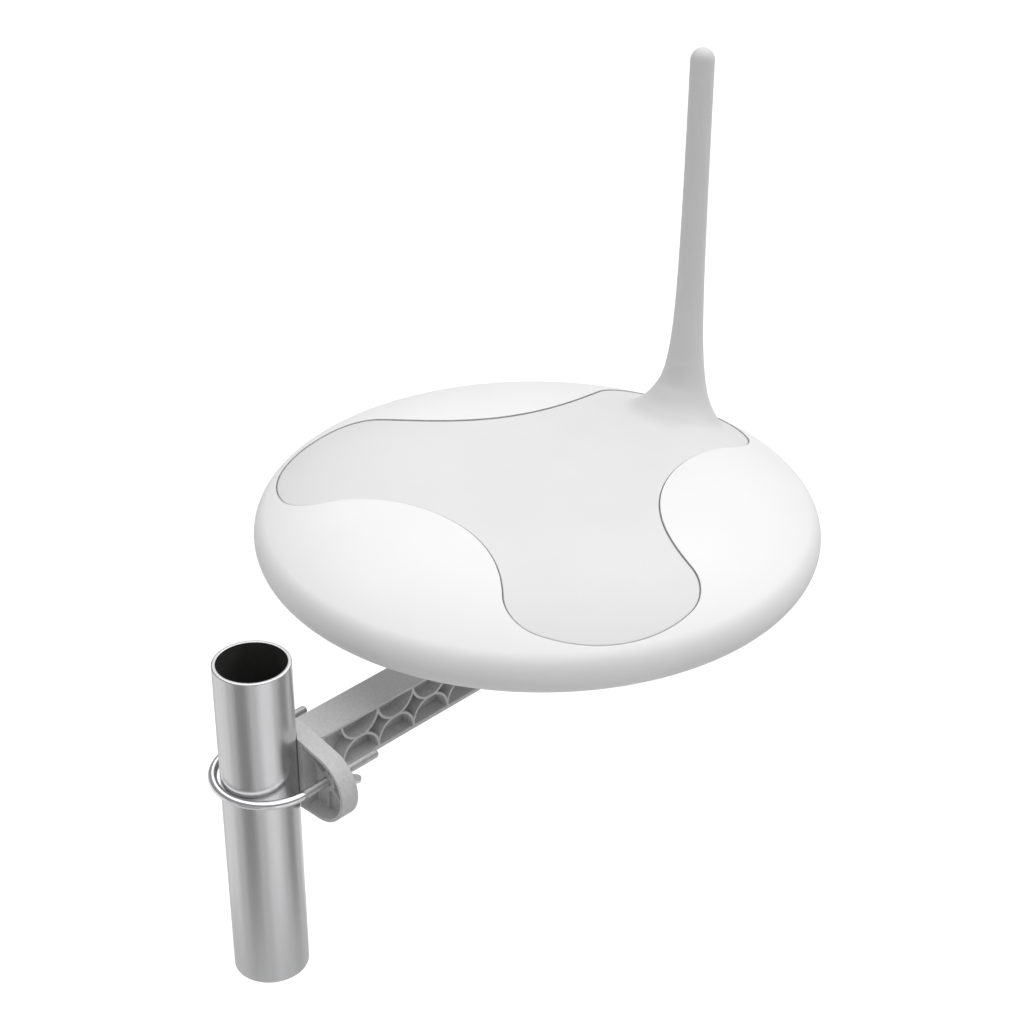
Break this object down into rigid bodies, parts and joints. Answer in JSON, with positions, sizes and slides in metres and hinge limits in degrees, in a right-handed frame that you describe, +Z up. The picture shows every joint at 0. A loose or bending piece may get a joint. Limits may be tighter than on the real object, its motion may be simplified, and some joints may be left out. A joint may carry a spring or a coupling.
{
  "type": "disc television antenna",
  "caption": "Flat round outdoor television antenna with a whip, on a ribbed arm that a U-bolt clamps to a round steel mast.",
  "frame": {"origin": "centre of the mast section's lower end", "axes": "+Z up the mast, +X from the mast along the arm to the disc, +Y to the left of the arm"},
  "size_m": [0.4858, 0.393, 0.536],
  "materials": {
    "galvanised_steel": "bright drawn tube with a soft vertical grain",
    "arm_plastic": "fine moulded texture, mid grey",
    "zinc_plate": "bright zinc plate",
    "screw_steel": "plain stainless",
    "rubber_black": "matte",
    "brass": "machined",
    "copper": "tinned copper strip",
    "shell_white": "satin white moulding",
    "panel_grey": "satin light grey moulding",
    "carrier_plastic": "natural plastic",
    "element_aluminium": "mill finish sheet",
    "board_green": "solder mask over glass fibre",
    "tinplate": "tinned sheet",
    "ferrite": "sintered, dull",
    "component_dark": "moulded epoxy",
    "nickel_plate": "bright nickel plate"
  },
  "bodies": {
    "mast": {"mast_tube": "galvanised_steel"},
    "antenna": {"support_arm": "arm_plastic", "leg_washers": "zinc_plate", "arm_screws": "screw_steel", "pedestal_gasket": "rubber_black", "pedestal_inserts": "brass", "lower_shell": "shell_white", "upper_shell": "shell_white", "lobe_panel": "panel_grey", "rim_gasket": "rubber_black", "shell_screws": "screw_steel", "panel_screws": "screw_steel", "whip_rod": "brass", "whip_socket": "brass", "whip_strap": "copper", "element_carrier": "carrier_plastic", "element_front_left": "element_aluminium", "element_back_left": "element_aluminium", "element_back_right": "element_aluminium", "element_front_right": "element_aluminium", "element_rivets": "element_aluminium", "carrier_screws": "screw_steel", "amplifier_board": "board_green", "shield_can": "tinplate", "balun_core": "ferrite", "board_parts": "component_dark", "board_screws": "screw_steel", "f_socket": "nickel_plate", "f_washer": "rubber_black", "f_nut": "nickel_plate"},
    "clamp_bolt": {"u_bolt": "zinc_plate"},
    "near_nut": {"near_nut": "zinc_plate"},
    "far_nut": {"far_nut": "zinc_plate"}
  },
  "joints": [
    {"name": "azimuth", "type": "hinge", "parent": "mast", "child": "antenna", "pos_m": [0, 0, 0.152], "axis": [0, 0, 1], "continuous": true},
    {"name": "near_nut_spin", "type": "hinge", "parent": "antenna", "child": "near_nut", "pos_m": [0.038, -0.035, 0.152], "axis": [1, 0, 0], "range_deg": [0, 3600]},
    {"name": "far_nut_spin", "type": "hinge", "parent": "antenna", "child": "far_nut", "pos_m": [0.038, 0.035, 0.152], "axis": [1, 0, 0], "range_deg": [0, 3600]},
    {"name": "u_bolt_slide", "type": "slide", "parent": "antenna", "child": "clamp_bolt", "axis": [1, 0, 0], "range_m": [-0.01, 0]}
  ],
  "couplings": [
    {"joint": "near_nut_spin", "follows": "u_bolt_slide", "rad_per_m": -6283.2},
    {"joint": "far_nut_spin", "follows": "u_bolt_slide", "rad_per_m": -6283.2}
  ]
}
